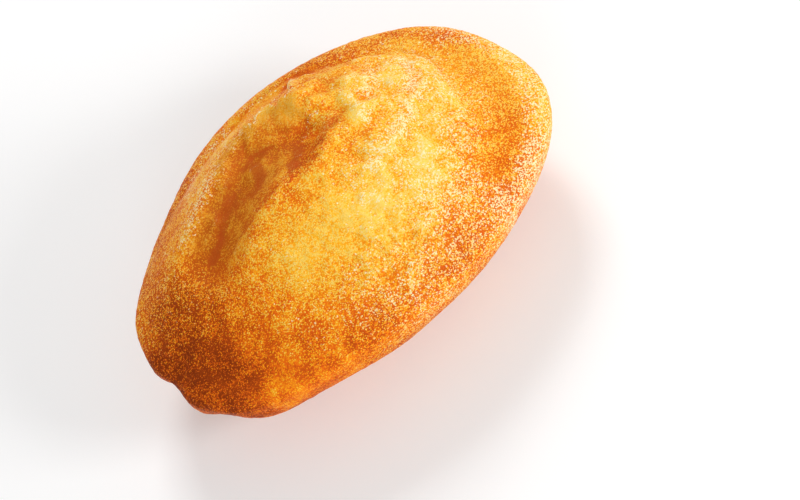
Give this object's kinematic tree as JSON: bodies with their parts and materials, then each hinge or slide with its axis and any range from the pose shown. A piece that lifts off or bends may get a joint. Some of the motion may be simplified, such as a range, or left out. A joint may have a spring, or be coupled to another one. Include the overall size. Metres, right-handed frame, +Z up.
{
  "type": "madeleine cake",
  "caption": "Small oval shell-shaped sponge cake, ribbed underneath, with a browned rim and a risen, split golden crown on top.",
  "frame": {"origin": "on the surface the cake lies on, under the middle of its bounding box", "axes": "+X along the cake towards the smooth hinge end of the shell, +Y across it towards the split side of the crown, +Z up out of the crown"},
  "size_m": [0.0766, 0.0518, 0.0305],
  "materials": {
    "madeleine": "baked sponge crust, golden yellow on the crown and orange brown at the rim; matte_plastic stands in for food"
  },
  "bodies": {
    "root": {"madeleine": "madeleine"}
  },
  "joints": []
}
